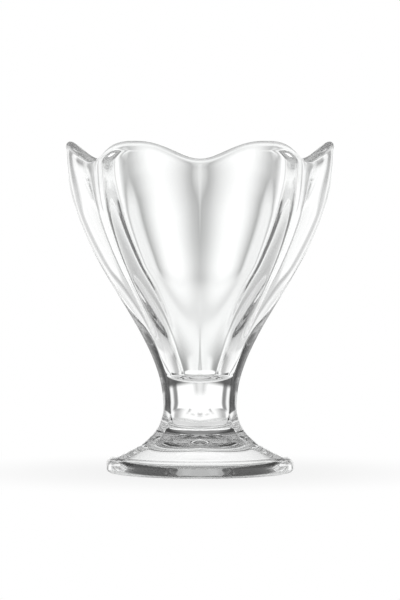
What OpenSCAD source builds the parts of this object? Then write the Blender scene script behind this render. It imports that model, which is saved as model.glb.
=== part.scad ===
// Parfait glass: a thick bowl of rounded petals on a solid, softly fluted stem and a round hollow foot.
// The glass stands on Z = 0 with its axis on Z, and a valley between two petals faces -Y.

/* [Bowl] */
// Height of the petals' tips above the table
glass_h = 126; // [118:1:140]
// Radius of the rim at the middle of a petal
rim_r = 51.2; // [47:0.2:56]
// Drop of the rim from a petal's tip to the valley beside it
rim_dip = 6.6; // [3:0.2:9]
// Thickness of the lip
rim_wall = 4; // [3:0.1:4.6]
// Thickness of the wall between the lip and the lower bowl
wall = 5; // [4:0.1:6]
// Thickness of the wall at the bottom of the bowl
base_wall = 8; // [6.5:0.1:9]
// Height of the bowl's inside floor above the table
floor_z = 35.5; // [34:0.5:38]
// Height of the rounded corner round the floor
floor_round = 3.5; // [2:0.1:4.5]

/* [Petals] */
// Number of petals round the glass
petals = 6; // [5:1:8]
// Radius of a valley at the rim, as a share of the radius at the middle of a petal
valley_share = 0.88; // [0.85:0.01:0.94]

/* [Stem] */
// Radius of the stem at its narrowest
neck_r = 14; // [13:0.2:16]
// Height of the narrowest place above the table
neck_z = 25.5; // [24:0.5:27]
// Radius of a flute there, as a share of the radius between two flutes
neck_share = 0.97; // [0.94:0.01:0.99]

/* [Foot] */
// Radius of the foot
foot_r = 35.7; // [34:0.1:39]
// Height of the foot's rounded edge
edge_h = 6.1; // [5.4:0.1:6.8]
// Radius of the rounding at the top of the edge
edge_top_r = 2.8; // [2:0.1:3.2]
// Radius of the rounding at the bottom of the edge
edge_low_r = 1.8; // [1:0.1:2.2]
// Width of the flat ring that the glass stands on
ring_w = 3; // [2:0.1:4]
// Depth of the flutes where they are deepest on the flare, as a share of its radius there
flute_share = 0.09; // [0:0.01:0.12]
// Depth of the hollow under the foot
hollow_depth = 14; // [10:0.5:14]

/* [Hidden] */
$fn = 96;

// Colour of the clear glass
glass_colour = [0.82, 0.91, 0.93, 0.6];

// Points along half a petal, and rings along each stretch of the surface
half_petal_steps = 6;
outer_rings = 18;
lip_rings = 6;
inner_rings = 15;
floor_rings = 4;
stem_rings = 6;
flare_rings = 12;
points_round = 2 * half_petal_steps * petals;

// Angle from the middle of a petal to the valley beside it
petal_half = 180 / petals;
// Angle over which the valleys are rounded, outside and inside
outer_round_angle = 2;
inner_round_angle = 7;

// The lip is a half round on top of the wall
lip_r = rim_wall / 2;
lip_z = glass_h - lip_r;

// Outline of the bowl's outside, from the neck to the lip
bowl_rise = lip_z - neck_z;
low_handle_share = 0.31;
high_handle_share = 0.44;
bowl_line = [
    [neck_r, neck_z],
    [neck_r, neck_z + low_handle_share * bowl_rise],
    [rim_r, lip_z - high_handle_share * bowl_rise],
    [rim_r, lip_z]
];

// Shares of the bowl's rise between which the thick bottom turns into the even wall
thick_share = 0.2;
thin_share = 0.55;
// Share of the bowl's rise from which the wall thins into the lip
lip_start_share = 0.75;
// Share of the bowl's rise at which the valleys reach their full depth
deep_share = 0.5;
// Radius of a valley inside the thick bottom, as a share of the radius at the middle of a petal
low_inner_share = 0.96;

// Outline of the foot's flare, from the neck into the body of the foot
flare_sink = 1;
flare_inset = 3.7;
flare_r = foot_r - flare_inset;
flare_z = edge_h - flare_sink;
flare_fall = neck_z - flare_z;
flare_handle_share = 0.8;
flare_lift_share = 0.058;
flare_line = [
    [neck_r, neck_z],
    [neck_r, neck_z - flare_handle_share * flare_fall],
    [flare_r, flare_z + flare_lift_share * flare_fall],
    [flare_r, flare_z]
];

// Where the stem ends, as shares of the way along the two outlines
stem_top_share = 0.07;
stem_low_share = 0.12;
stem_top_z = cubic(bowl_line, stem_top_share)[1];

// Where the bowl's inside ends and the floor's rounded corner begins
inside_end = share_at(bowl_line, floor_z + floor_round, 0, 1, 20);

// How the valleys fade out on the flare, and where its flutes are deepest
fade_power = 1.5;
flute_power = 0.5;
// How the rim's wave fades out below it, and how narrow its dips are
wave_power = 3;
dip_power = 1.4;

// Point of a cubic curve at a share of its way
function cubic(p, t) =
    let (s = 1 - t)
    s * s * s * p[0] + 3 * s * s * t * p[1] + 3 * s * t * t * p[2] + t * t * t * p[3];

// Direction of a cubic curve at a share of its way
function cubic_way(p, t) =
    let (s = 1 - t)
    s * s * (p[1] - p[0]) + 2 * s * t * (p[2] - p[1]) + t * t * (p[3] - p[2]);

// Share of the way at which a rising curve reaches a height, found by halving
function share_at(p, z, low, high, turns) =
    let (middle = (low + high) / 2)
    turns == 0 ? middle :
    cubic(p, middle)[1] < z ? share_at(p, z, middle, high, turns - 1)
                            : share_at(p, z, low, middle, turns - 1);

// Soft step from 0 to 1 between two values
function eased(value, low, high) =
    let (s = max(0, min(1, (value - low) / (high - low))))
    s * s * (3 - 2 * s);

// Angle from the middle of the nearest petal, with the valleys rounded over an angle
function petal_angle(angle, round_angle) =
    let (from_valley = abs((angle % (2 * petal_half)) - petal_half))
    petal_half - petal_half * norm([from_valley, round_angle]) / norm([petal_half, round_angle]);

// Radius of the petalled section at an angle: each petal is an arc that meets its neighbours at the valleys
function petal_r(angle, r, share, inset, round_angle) =
    let (u = petal_angle(angle, round_angle))
    let (centre = r * (1 - share * share) / (2 - 2 * share * cos(petal_half)))
    let (arc = r - centre - inset)
    centre * cos(u) + sqrt(max(0, arc * arc - pow(centre * sin(u), 2)));

// Share of the rim's drop at an angle
function dip_share(angle) =
    pow((1 - cos(180 * petal_angle(angle, 0) / petal_half)) / 2, dip_power);

// Closed ring of points on the petalled section
function ring(r, z, share, inset, round_angle, drop) = [
    for (i = [0 : points_round - 1])
        let (angle = 360 * i / points_round)
        let (radius = petal_r(angle, r, share, inset, round_angle))
        [radius * cos(angle), radius * sin(angle), z - drop * dip_share(angle)]
];

// Drop of the rim's valleys at a share of the way up the bowl
function wave_drop(t) =
    rim_dip * pow((cubic(bowl_line, t)[1] - stem_top_z) / (lip_z - stem_top_z), wave_power);

// Share of the bowl's rise at a share of the way up its outline
function rise_share(t) =
    (cubic(bowl_line, t)[1] - neck_z) / bowl_rise;

// How far the thick bottom has given way to the even wall, from 0 to 1
function thinned(t) =
    eased(rise_share(t), thick_share, thin_share);

// Level thickness of the wall at a share of the way up the bowl
function level_wall(t) =
    let (way = cubic_way(bowl_line, t))
    let (body = base_wall + (wall - base_wall) * thinned(t))
    (body + (rim_wall - wall) * eased(rise_share(t), lip_start_share, 1)) * norm(way) / way[1];

// Radius of the outside's valleys, as a share of the radius at the middle of a petal
function outer_share(t) =
    neck_share + (valley_share - neck_share) * eased(rise_share(t), 0, deep_share);

function outer_ring(t) =
    let (p = cubic(bowl_line, t))
    ring(p[0], p[1], outer_share(t), 0, outer_round_angle, wave_drop(t));

// Ring of the inside, which keeps even to the outside in the upper bowl and is nearly round in the lower
function inner_ring(t) =
    let (p = cubic(bowl_line, t))
    let (inset = level_wall(t))
    let (even_share = petal_r(petal_half, p[0], outer_share(t), inset, 0) / (p[0] - inset))
    let (share = low_inner_share + (even_share - low_inner_share) * thinned(t))
    ring(p[0] - inset, p[1], share, 0, inner_round_angle, wave_drop(t));

// Ring on the half round lip, at a share of the way over it
function lip_ring(s) =
    let (inset = lip_r - lip_r * cos(180 * s))
    let (round_angle = outer_round_angle + (inner_round_angle - outer_round_angle) * s)
    ring(rim_r, lip_z + lip_r * sin(180 * s), valley_share, inset, round_angle, rim_dip);

// Ring of the floor, at a share of the way from the wall to the middle
function floor_ring(s) =
    let (size = cos(90 * s))
    let (z = floor_z + floor_round * (1 - sin(90 * s)))
    [for (p = inner_ring(inside_end)) [size * p[0], size * p[1], z]];

// Depth of the valleys at a share of the way down the flare, as a share of its radius there
function flare_dip_share(t) =
    (1 - neck_share) * pow(1 - t, fade_power) + flute_share * pow(sin(180 * pow(t, flute_power)), 2);

// Ring of the flare at a share of its way down, with valleys that deepen into flutes and fade out
function flare_ring(t) =
    let (p = cubic(flare_line, t))
    ring(p[0], p[1], 1 - flare_dip_share(t), 0, outer_round_angle, 0);

// Triangles between the rings of a loft, each ring with the same number of points
function loft_sides(count) = [
    for (j = [0 : count - 2], i = [0 : points_round - 1])
        let (k = (i + 1) % points_round, a = j * points_round, b = a + points_round)
        each [[a + i, b + i, b + k], [a + i, b + k, a + k]]
];

// Solid between rings that climb, closed by a flat face at each end
module loft(rings) {
    last = (len(rings) - 1) * points_round;
    low_face = [for (i = [0 : points_round - 1]) i];
    high_face = [for (i = [points_round - 1 : -1 : 0]) last + i];
    polyhedron([for (r = rings) each r], concat([low_face], loft_sides(len(rings)), [high_face]));
}

// Solid whose rings run up the outside, over the lip and down the inside to the middle of the floor
module vessel(rings, middle) {
    points = concat([for (r = rings) each r], [middle]);
    last = (len(rings) - 1) * points_round;
    low_face = [for (i = [0 : points_round - 1]) i];
    floor_faces = [
        for (i = [0 : points_round - 1])
            [last + i, len(points) - 1, last + (i + 1) % points_round]
    ];
    polyhedron(points, concat([low_face], loft_sides(len(rings)), floor_faces));
}

// Petalled bowl with a waved, rounded lip
module bowl() {
    outer = [
        for (j = [0 : outer_rings])
            outer_ring(stem_top_share + (1 - stem_top_share) * j / outer_rings)
    ];
    lip = [for (j = [1 : lip_rings - 1]) lip_ring(j / lip_rings)];
    inner = [for (j = [0 : inner_rings]) inner_ring(1 - (1 - inside_end) * j / inner_rings)];
    floor = [for (j = [1 : floor_rings - 1]) floor_ring(j / floor_rings)];
    color(glass_colour)
        vessel(concat(outer, lip, inner, floor), [0, 0, floor_z]);
}

// Solid, softly fluted stem, waisted between the bowl and the foot
module stem() {
    low = [for (j = [stem_rings : -1 : 1]) flare_ring(stem_low_share * j / stem_rings)];
    high = [for (j = [0 : stem_rings]) outer_ring(stem_top_share * j / stem_rings)];
    color(glass_colour)
        loft(concat(low, high));
}

// Outline of half of the foot's rounded disc
module edge_section() {
    translate([0, edge_low_r])
        square([foot_r, edge_h - edge_top_r - edge_low_r]);
    square([foot_r - edge_low_r, edge_h - edge_top_r]);
    translate([0, edge_low_r])
        square([foot_r - edge_top_r, edge_h - edge_low_r]);
    translate([foot_r - edge_top_r, edge_h - edge_top_r])
        circle(edge_top_r);
    translate([foot_r - edge_low_r, edge_low_r])
        circle(edge_low_r);
}

// Round foot whose flare carries the stem's flutes, with a deep hollow underneath inside its resting ring
module foot() {
    hollow_r = foot_r - edge_low_r - ring_w;
    ball_r = (hollow_r * hollow_r + hollow_depth * hollow_depth) / (2 * hollow_depth);
    color(glass_colour)
        difference() {
            union() {
                rotate_extrude()
                    edge_section();
                loft([
                    for (j = [flare_rings : -1 : 0])
                        flare_ring(stem_low_share + (1 - stem_low_share) * j / flare_rings)
                ]);
            }
            translate([0, 0, hollow_depth - ball_r])
                sphere(ball_r);
        }
}

bowl();
stem();
foot();
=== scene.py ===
"""Parfait glass of clear pressed glass on a pale studio floor, in the frame of the CAD part."""

import math

import bpy
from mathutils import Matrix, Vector


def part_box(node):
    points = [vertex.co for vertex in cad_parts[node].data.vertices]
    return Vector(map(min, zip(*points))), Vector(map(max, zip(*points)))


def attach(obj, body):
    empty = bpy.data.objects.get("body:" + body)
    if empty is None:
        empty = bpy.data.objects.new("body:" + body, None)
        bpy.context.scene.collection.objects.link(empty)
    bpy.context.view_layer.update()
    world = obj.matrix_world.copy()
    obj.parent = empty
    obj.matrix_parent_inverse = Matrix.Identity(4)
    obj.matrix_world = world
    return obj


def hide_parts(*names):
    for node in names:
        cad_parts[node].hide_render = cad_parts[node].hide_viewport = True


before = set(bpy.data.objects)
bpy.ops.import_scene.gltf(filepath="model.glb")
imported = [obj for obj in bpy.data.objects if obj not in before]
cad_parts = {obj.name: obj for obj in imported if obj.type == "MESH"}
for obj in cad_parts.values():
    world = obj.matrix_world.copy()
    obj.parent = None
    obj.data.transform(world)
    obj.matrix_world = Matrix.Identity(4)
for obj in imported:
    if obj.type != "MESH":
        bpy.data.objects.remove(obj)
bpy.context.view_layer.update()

MM = 0.001
_, foot_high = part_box("foot")
_, bowl_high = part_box("bowl")

# Sizes that the CAD part gives
GLASS_H = bowl_high.z
RIM_R = bowl_high.x
FOOT_R = foot_high.x

# Bowl
RIM_DIP = 6.6 * MM
RIM_WALL = 4.0 * MM
WALL = 5.0 * MM
LOW_WALL = 8.0 * MM
LOW_Z = 45 * MM
MID_Z = 80 * MM
THICK_Z = 100 * MM
THIN_Z = 125 * MM
ROUND_Z = 45 * MM
EVEN_Z = 80 * MM
FLOOR_Z = 35.5 * MM
FLOOR_ROUND = 3.5 * MM
NECK_R = 14 * MM
NECK_Z = 25.5 * MM
LOW_HANDLE_SHARE = 0.31
HIGH_HANDLE_SHARE = 0.44

# Petals
PETALS = 6
VALLEY_SHARE = 0.88
NECK_SHARE = 0.97
DEEP_Z = 75 * MM
LOW_INNER_SHARE = 0.96
OUTER_ROUND_ANGLE = 4.5
OUTER_CREASE_SHARE = 0.25
INNER_ROUND_ANGLE = 12.6
INNER_DEEPER_SHARE = 0.069
DIP_POWER = 1.4
WAVE_POWER = 3.0
FADE_POWER = 1.5
FLUTE_SHARE = 0.09
FLUTE_POWER = 0.5

# Foot
EDGE_H = 6.1 * MM
EDGE_TOP_R = 2.8 * MM
EDGE_LOW_R = 1.8 * MM
RING_W = 3 * MM
HOLLOW_DEPTH = 14 * MM
FLARE_INSET = 3.7 * MM
FLARE_HANDLE_SHARE = 0.80
FLARE_LIFT_SHARE = 0.058

# How finely the surface is divided and a curve is searched
HALF_PETAL_STEPS = 20
BUNCHING = 2.0
HOLLOW_ROWS = 40
EDGE_ROWS = 8
FLARE_ROWS = 44
BOWL_ROWS = 80
LIP_ROWS = 12
FLOOR_ROWS = 16
HALVINGS = 30

PETAL_HALF = 180 / PETALS
LIP_R = RIM_WALL / 2
LIP_Z = GLASS_H - LIP_R
BOWL_RISE = LIP_Z - NECK_Z
BOWL_LINE = [
    Vector((NECK_R, NECK_Z)),
    Vector((NECK_R, NECK_Z + LOW_HANDLE_SHARE * BOWL_RISE)),
    Vector((RIM_R, LIP_Z - HIGH_HANDLE_SHARE * BOWL_RISE)),
    Vector((RIM_R, LIP_Z)),
]
FLARE_R = FOOT_R - FLARE_INSET
FLARE_FALL = NECK_Z - EDGE_H
FLARE_LINE = [
    Vector((NECK_R, NECK_Z)),
    Vector((NECK_R, NECK_Z - FLARE_HANDLE_SHARE * FLARE_FALL)),
    Vector((FLARE_R, EDGE_H + FLARE_LIFT_SHARE * FLARE_FALL)),
    Vector((FLARE_R, EDGE_H)),
]


def cubic(line, t):
    """Point of a cubic curve at a share of its way."""
    s = 1 - t
    return s**3 * line[0] + 3 * s * s * t * line[1] + 3 * s * t * t * line[2] + t**3 * line[3]


def cubic_way(line, t):
    """Direction of a cubic curve at a share of its way."""
    s = 1 - t
    return s * s * (line[1] - line[0]) + 2 * s * t * (line[2] - line[1]) + t * t * (line[3] - line[2])


def share_at(line, z):
    """Share of the way at which a rising curve reaches a height, found by halving."""
    low, high = 0.0, 1.0
    for _ in range(HALVINGS):
        middle = (low + high) / 2
        low, high = (middle, high) if cubic(line, middle).y < z else (low, middle)
    return low


def shares(count, start=0.0, end=1.0):
    """Even steps from start to end, both included."""
    return [start + (end - start) * i / count for i in range(count + 1)]


def ring_angles():
    """Angles round the glass, closer together at the valleys."""
    falls = [PETAL_HALF * s**BUNCHING for s in shares(HALF_PETAL_STEPS)][:-1]
    one = [-PETAL_HALF + fall for fall in falls] + [0.0] + [PETAL_HALF - fall for fall in falls[:0:-1]]
    return [2 * PETAL_HALF * petal + angle for petal in range(PETALS) for angle in one]


ANGLES = ring_angles()


def petal_angle(angle, round_angle, crease_share=0.0):
    """Angle from the middle of the nearest petal, with rounded valleys that keep a share of a crease."""
    from_valley = abs(angle % (2 * PETAL_HALF) - PETAL_HALF)
    round_share = 1 - crease_share
    rounded = crease_share * from_valley + round_share * math.hypot(from_valley, round_angle)
    full = crease_share * PETAL_HALF + round_share * math.hypot(PETAL_HALF, round_angle)
    return PETAL_HALF - PETAL_HALF * rounded / full


def petal_centre(r, share):
    """Distance from the axis to the centre of a petal's arc."""
    return r * (1 - share * share) / (2 - 2 * share * math.cos(math.radians(PETAL_HALF)))


def petal_r(angle, r, share, round_angle, crease_share):
    """Radius of the petalled section: each petal is an arc that meets its neighbours at the valleys."""
    u = math.radians(petal_angle(angle, round_angle, crease_share))
    centre = petal_centre(r, share)
    arc = r - centre
    return centre * math.cos(u) + math.sqrt(max(0.0, arc * arc - (centre * math.sin(u)) ** 2))


def dip_share(angle):
    """Share of the rim's drop at an angle."""
    turn = math.pi * petal_angle(angle, 0) / PETAL_HALF
    return ((1 - math.cos(turn)) / 2) ** DIP_POWER


DIPS = [dip_share(angle) for angle in ANGLES]


def ring(r, z, share=1.0, round_angle=0.0, drop=0.0, crease_share=0.0):
    """Closed ring of points on the petalled section."""
    points = []
    for angle, dip in zip(ANGLES, DIPS):
        radius = petal_r(angle, r, share, round_angle, crease_share) if share < 1 else r
        turn = math.radians(angle)
        points.append((radius * math.cos(turn), radius * math.sin(turn), z - drop * dip))
    return points


def wave_drop(z):
    """Drop of the rim's valleys at a height."""
    return RIM_DIP * max(0.0, (z - NECK_Z) / BOWL_RISE) ** WAVE_POWER


def eased(value, low, high):
    """Share of the way from low to high, with a soft start and end."""
    t = min(1.0, max(0.0, (value - low) / (high - low)))
    return t * t * (3 - 2 * t)


def valley_share(z):
    """Share of the outer valleys at a height: they grow shallow towards the neck."""
    return NECK_SHARE + (VALLEY_SHARE - NECK_SHARE) * eased(z, NECK_Z, DEEP_Z)


def outer_ring(t):
    """Ring of the bowl's outside, at a share of the way up from the neck."""
    p = cubic(BOWL_LINE, t)
    return ring(p.x, p.y, valley_share(p.y), OUTER_ROUND_ANGLE, wave_drop(p.y), OUTER_CREASE_SHARE)


def inset_share(r, share, wall):
    """Share of the valleys in a section set in evenly from the outer petals."""
    centre = petal_centre(r, share)
    turn = math.radians(PETAL_HALF)
    arc = max(r - centre - wall, centre * math.sin(turn))
    return (centre * math.cos(turn) + math.sqrt(arc**2 - (centre * math.sin(turn)) ** 2)) / (r - wall)


def inner_ring(t):
    """Ring of the bowl's inside, set in by the wall from the outside at the same share."""
    p, way = cubic(BOWL_LINE, t), cubic_way(BOWL_LINE, t)
    wall = LOW_WALL + (WALL - LOW_WALL) * eased(p.y, LOW_Z, MID_Z)
    wall += (RIM_WALL - WALL) * eased(p.y, THICK_Z, THIN_Z)
    inset = wall * way.length / way.y
    even = inset_share(p.x, valley_share(p.y), inset) - INNER_DEEPER_SHARE
    share = LOW_INNER_SHARE + (even - LOW_INNER_SHARE) * eased(p.y, ROUND_Z, EVEN_Z)
    return ring(p.x - inset, p.y, share, INNER_ROUND_ANGLE, wave_drop(p.y))


def lip_ring(s):
    """Ring on the half round lip, at a share of the way over it."""
    turn = math.pi * s
    over = (1 - math.cos(turn)) / 2
    inner_share = inset_share(RIM_R, VALLEY_SHARE, RIM_WALL) - INNER_DEEPER_SHARE
    share = VALLEY_SHARE + (inner_share - VALLEY_SHARE) * over
    round_angle = OUTER_ROUND_ANGLE + (INNER_ROUND_ANGLE - OUTER_ROUND_ANGLE) * over
    crease_share = OUTER_CREASE_SHARE * (1 - over)
    z = LIP_Z + LIP_R * math.sin(turn)
    return ring(RIM_R - RIM_WALL * over, z, share, round_angle, RIM_DIP, crease_share)


def floor_ring(wall_ring, s):
    """Ring of the bowl's floor, at a share of the way from the wall to the middle."""
    turn = math.pi / 2 * s
    size = math.cos(turn)
    z = FLOOR_Z + FLOOR_ROUND * (1 - math.sin(turn))
    return [(size * x, size * y, z) for x, y, _ in wall_ring]


def flare_ring(t):
    """Ring of the flare at a share of its way down, its valleys deepening into flutes that fade out."""
    p = cubic(FLARE_LINE, t)
    flute = FLUTE_SHARE * math.sin(math.pi * t**FLUTE_POWER) ** 2
    share = 1 - (1 - NECK_SHARE) * (1 - t) ** FADE_POWER - flute
    return ring(p.x, p.y, share, OUTER_ROUND_ANGLE, 0, OUTER_CREASE_SHARE)


def glass_rings():
    """Rings over the whole surface, from the hollow under the foot to the bowl's floor."""
    hollow_r = FOOT_R - EDGE_LOW_R - RING_W
    ball_r = (hollow_r**2 + HOLLOW_DEPTH**2) / (2 * HOLLOW_DEPTH)
    open_turn = math.asin(hollow_r / ball_r)
    rows = []
    for turn in shares(HOLLOW_ROWS, 0, open_turn)[1:]:
        rows.append(ring(ball_r * math.sin(turn), HOLLOW_DEPTH - ball_r * (1 - math.cos(turn))))
    rows.append(ring(FOOT_R - EDGE_LOW_R, 0))
    for s in shares(EDGE_ROWS)[1:]:
        turn = math.pi / 2 * s
        rows.append(ring(FOOT_R - EDGE_LOW_R * (1 - math.sin(turn)), EDGE_LOW_R * (1 - math.cos(turn))))
    for s in shares(EDGE_ROWS)[:-1]:
        turn = math.pi / 2 * s
        rise = EDGE_TOP_R * (1 - math.sin(turn))
        rows.append(ring(FOOT_R - EDGE_TOP_R * (1 - math.cos(turn)), EDGE_H - rise))
    rows += [flare_ring(t) for t in shares(FLARE_ROWS, 1, 0)]
    rows += [outer_ring(t) for t in shares(BOWL_ROWS)[1:]]
    rows += [lip_ring(s) for s in shares(LIP_ROWS)[1:-1]]
    inside_end = share_at(BOWL_LINE, FLOOR_Z + FLOOR_ROUND)
    rows += [inner_ring(t) for t in shares(BOWL_ROWS, 1, inside_end)]
    wall_ring = rows[-1]
    rows += [floor_ring(wall_ring, s) for s in shares(FLOOR_ROWS)[1:-1]]
    return rows


def lofted_mesh(name, rows, first_middle, last_middle):
    """Closed smooth mesh through rings of points, with a fan of triangles at each end."""
    count = len(ANGLES)
    points = [p for row in rows for p in row] + [first_middle, last_middle]
    faces = []
    for i in range(count):
        k = (i + 1) % count
        faces.append((len(points) - 2, k, i))
        for j in range(len(rows) - 1):
            a, b = j * count, (j + 1) * count
            faces.append((a + i, a + k, b + k, b + i))
        last = (len(rows) - 1) * count
        faces.append((len(points) - 1, last + i, last + k))
    mesh = bpy.data.meshes.new(name)
    mesh.from_pydata(points, [], faces)
    mesh.polygons.foreach_set("use_smooth", [True] * len(faces))
    mesh.update()
    return mesh


class Nodes:
    """Shorthand for building a node tree."""

    def __init__(self, owner):
        owner.use_nodes = True
        self.tree = owner.node_tree
        self.tree.nodes.clear()

    def put(self, target, value):
        """Links a socket to an input, or sets a plain value there."""
        if isinstance(value, bpy.types.NodeSocket):
            self.tree.links.new(value, target)
        else:
            target.default_value = value

    def add(self, kind, inputs=(), **settings):
        made = self.tree.nodes.new(kind)
        for key, value in settings.items():
            setattr(made, key, value)
        for key, value in dict(inputs).items():
            self.put(made.inputs[key], value)
        return made

    def math(self, operation, *values):
        made = self.add("ShaderNodeMath", operation=operation)
        for target, value in zip(made.inputs, values):
            self.put(target, value)
        return made.outputs[0]

    def mix(self, factor, first, second):
        made = self.add("ShaderNodeMix", {"Factor": factor}, data_type="FLOAT")
        self.put(made.inputs["A"], first)
        self.put(made.inputs["B"], second)
        return made.outputs["Result"]

    def ramp(self, factor, stops):
        """Grey level along a line of stops, each a place and its grey."""
        made = self.add("ShaderNodeValToRGB", {"Fac": factor})
        elements = made.color_ramp.elements
        for i, (place, grey) in enumerate(stops):
            element = elements[i] if i < 2 else elements.new(place)
            element.position = place
            element.color = (grey, grey, grey, 1)
        return made.outputs["Color"]


# Glass
GLASS_IOR = 1.5
TINT = (0.98, 0.99, 0.985, 1)
TINT_SCALE = 30.0
TINT_DETAIL = 2.0
WHITE = (1, 1, 1, 1)


def clear_glass():
    """Clear pressed glass, with a faint uneven tint."""
    material = bpy.data.materials.new("clear_glass")
    nodes = Nodes(material)
    place = nodes.add("ShaderNodeTexCoord").outputs["Object"]
    uneven = nodes.add(
        "ShaderNodeTexNoise",
        {"Vector": place, "Scale": TINT_SCALE, "Detail": TINT_DETAIL},
    ).outputs["Fac"]
    colour = nodes.add("ShaderNodeMix", {"Factor": uneven}, data_type="RGBA")
    colour.inputs["A"].default_value = TINT
    colour.inputs["B"].default_value = WHITE
    shader = nodes.add(
        "ShaderNodeBsdfPrincipled",
        {
            "Base Color": colour.outputs["Result"],
            "Roughness": 0.0,
            "IOR": GLASS_IOR,
            "Transmission Weight": 1.0,
        },
    )
    out = nodes.add("ShaderNodeOutputMaterial")
    nodes.tree.links.new(shader.outputs["BSDF"], out.inputs["Surface"])
    return material


# Floor
FLOOR_EDGE_R = 450 * MM
FLOOR_SIDES = 96
FLOOR_GAP = 0.05 * MM
# Painted shade round the glass: from SHADE_R out to WHITE_R the floor's white for the camera rises from
# SHADE_LEVEL to full white
SHADE_R = 30 * MM
SHADE_LEVEL = 0.88
WHITE_R = 120 * MM
MATT_COLOUR = (0.9, 0.9, 0.9, 1)


def pale_floor():
    """Matt pale table that turns into the white background away from the glass; nearer the glass the
    camera's white is dimmed into painted shade, mixed with a share of the matt table that keeps its real
    shadow.
    """
    material = bpy.data.materials.new("pale_floor")
    nodes = Nodes(material)
    rays = nodes.add("ShaderNodeLightPath").outputs
    place = nodes.add("ShaderNodeTexCoord").outputs["Object"]
    away = nodes.add("ShaderNodeVectorMath", {0: place}, operation="LENGTH").outputs["Value"]
    # Painted shade: the camera's white is dimmed by distance from the glass's axis, not by where light
    # falls; the share left to the matt table keeps its real shadow
    fade = nodes.add(
        "ShaderNodeMapRange",
        {"Value": away, "From Min": SHADE_R, "From Max": WHITE_R, "To Min": SHADE_LEVEL, "To Max": 1.0},
        interpolation_type="SMOOTHSTEP",
    ).outputs["Result"]
    shown = nodes.math("MULTIPLY", fade, rays["Is Camera Ray"])
    matt = nodes.add("ShaderNodeBsdfDiffuse", {"Color": MATT_COLOUR}).outputs["BSDF"]
    white = nodes.add("ShaderNodeEmission", {"Color": WHITE, "Strength": 1.0}).outputs["Emission"]
    mix = nodes.add("ShaderNodeMixShader", {0: shown, 1: matt, 2: white})
    out = nodes.add("ShaderNodeOutputMaterial")
    nodes.tree.links.new(mix.outputs["Shader"], out.inputs["Surface"])
    return material


# Light in the room, as pairs of an angle in degrees from straight behind the glass and a level, where 1
# is white. Both sides are alike: windows between darker posts, which draw the lines in the glass
MIDDLE_POST = [
    (0, 1.2), (2.5, 1.2), (5.4, 0.72), (6.2, 0.5), (6.6, 0.56), (7.2, 1.0), (8, 1.08), (11, 1.02),
]
LOW_MIDDLE_POST = [
    (0, 0.8), (1.5, 0.9), (4, 1.12), (5.5, 0.98), (6.7, 0.84), (7.6, 0.86), (8.4, 0.98), (9.5, 1.05),
]
SIDE_POSTS = [(22, 1.2), (25, 0.25), (29, 0.25), (32.5, 1.0), (36, 1.0), (39.5, 0.07), (57, 0.07)]
SIDE_WINDOW = [(65, 0.75), (90, 0.85), (145, 0.8), (152, 0.35), (180, 0.4)]
LOW_SIDE_POSTS = [
    (11, 1.05), (16, 0.7), (20, 0.5), (24, 0.5), (28.5, 1.1), (36, 1.1), (50, 0.9), (56, 0.55), (61, 0.5),
]
LOW_SIDE_WINDOW = [
    (67, 1.1), (88, 0.9), (97, 0.5), (115, 0.6), (125, 0.9), (145, 0.8), (152, 0.35), (180, 0.35),
]
DIP_SIDE_POSTS = [(16, 0.7), (20, 0.4), (26, 0.35), (30.5, 1.05), (36, 1.05), (40, 0.1), (56, 0.1)]

GROUND = [(0, 0.75), (180, 0.75)]
TABLE = [
    (0, 0.85), (20, 0.65), (40, 0.7), (54, 0.8), (59, 0.4),
    (63, 0.4), (68, 1.05), (85, 0.8), (97, 0.3), (180, 0.3),
]
SWEEP = [(0, 1.1)] + LOW_SIDE_POSTS + LOW_SIDE_WINDOW
LOW = LOW_MIDDLE_POST + LOW_SIDE_POSTS + LOW_SIDE_WINDOW
DIP = MIDDLE_POST + DIP_SIDE_POSTS + SIDE_WINDOW
LEVEL = MIDDLE_POST + [(14, 1.15)] + SIDE_POSTS + SIDE_WINDOW
CLEAR = [(0, 1.15)] + SIDE_POSTS + SIDE_WINDOW
HIGH = [(0, 0.72), (5, 1.15)] + SIDE_POSTS + SIDE_WINDOW
ROOF = [(0, 0.25), (10, 0.25), (25, 0.06), (105, 0.05), (118, 0.4), (140, 0.5), (155, 0.3), (180, 0.2)]
LAMP = [(0, 0.5), (180, 0.5)]

# Bands of that light from low to high, each between the elevations that it spans. From one band's top
# to the next one's bottom the light changes over softly
BANDS = [
    (-90, GROUND, -60),
    (-48, TABLE, -27),
    (-22, SWEEP, -14),
    (-11.5, LOW, -9.5),
    (-5.5, DIP, -4.5),
    (-2.2, LEVEL, -1.9),
    (-1, CLEAR, 1),
    (7, HIGH, 9),
    (13, ROOF, 60),
    (70, LAMP, 90),
]
HALF_TURN = 180


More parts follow.
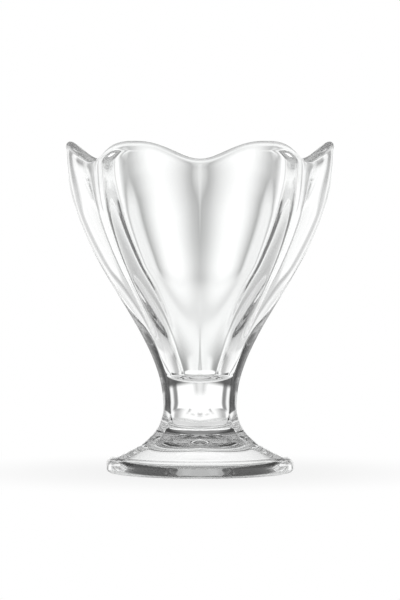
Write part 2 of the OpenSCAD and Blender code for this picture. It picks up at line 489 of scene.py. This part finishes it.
def studio_world():
    """The room's bands of light, seen by every ray but the camera's own, which see plain white."""
    world = bpy.data.worlds.new("studio")
    bpy.context.scene.world = world
    nodes = Nodes(world)
    rays = nodes.add("ShaderNodeLightPath").outputs
    way = nodes.add("ShaderNodeTexCoord").outputs["Generated"]
    parts = nodes.add("ShaderNodeSeparateXYZ", {0: way}).outputs
    turn = nodes.math("DEGREES", nodes.math("ARCTAN2", parts["X"], parts["Y"]))
    off = nodes.math("DIVIDE", nodes.math("ABSOLUTE", turn), HALF_TURN)
    climb = nodes.math("DEGREES", nodes.math("ARCSINE", parts["Z"]))
    light, below = 0.0, None
    for low, stops, high in BANDS:
        top = max(grey for _, grey in stops)
        ramp = nodes.ramp(off, [(angle / HALF_TURN, grey / top) for angle, grey in stops])
        band = nodes.math("MULTIPLY", ramp, top)
        rise = 1.0
        if below is not None:
            rise = nodes.add(
                "ShaderNodeMapRange",
                {"Value": climb, "From Min": below, "From Max": low},
                interpolation_type="SMOOTHSTEP",
            ).outputs["Result"]
        light, below = nodes.mix(rise, light, band), high
    strength = nodes.mix(rays["Is Camera Ray"], light, 1.0)
    back = nodes.add("ShaderNodeBackground", {"Color": WHITE, "Strength": strength})
    out = nodes.add("ShaderNodeOutputWorld")
    nodes.tree.links.new(back.outputs["Background"], out.inputs["Surface"])


def add_floor():
    """Round floor just under the foot, which the glass itself doesn't show."""
    mesh = bpy.data.meshes.new("floor")
    turns = [2 * math.pi * i / FLOOR_SIDES for i in range(FLOOR_SIDES)]
    points = [(FLOOR_EDGE_R * math.cos(a), FLOOR_EDGE_R * math.sin(a), 0) for a in turns]
    mesh.from_pydata(points, [], [tuple(range(FLOOR_SIDES))])
    mesh.materials.append(pale_floor())
    floor = bpy.data.objects.new("floor", mesh)
    floor.location.z = -FLOOR_GAP
    floor.visible_transmission = False
    floor.visible_glossy = False
    bpy.context.scene.collection.objects.link(floor)


# Camera
CAMERA_AWAY = 1700 * MM
CAMERA_Z = 119.4 * MM
AIM_Z = 65.7 * MM
LENS = 268.4
SENSOR_H = 36


def add_camera():
    """Far camera with a long lens, aimed at the middle of the glass."""
    data = bpy.data.cameras.new("camera")
    data.sensor_fit = "VERTICAL"
    data.sensor_height = SENSOR_H
    data.lens = LENS
    camera = bpy.data.objects.new("camera", data)
    camera.location = (0, -CAMERA_AWAY, CAMERA_Z)
    camera.rotation_euler = (Vector((0, 0, AIM_Z)) - camera.location).to_track_quat("-Z", "Y").to_euler()
    bpy.context.scene.collection.objects.link(camera)
    bpy.context.scene.camera = camera


glass_mesh = lofted_mesh("glass", glass_rings(), (0, 0, HOLLOW_DEPTH), (0, 0, FLOOR_Z))
glass = bpy.data.objects.new("glass", glass_mesh)
glass.data.materials.append(clear_glass())
bpy.context.scene.collection.objects.link(glass)
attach(glass, "root")
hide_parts("bowl", "stem", "foot")

add_floor()
studio_world()
add_camera()

# Enough bounces for light to find its way out of the glass
BOUNCES = 64

scene = bpy.context.scene
scene.view_settings.view_transform = "Standard"
scene.cycles.max_bounces = BOUNCES
scene.cycles.transmission_bounces = BOUNCES
scene.cycles.glossy_bounces = BOUNCES
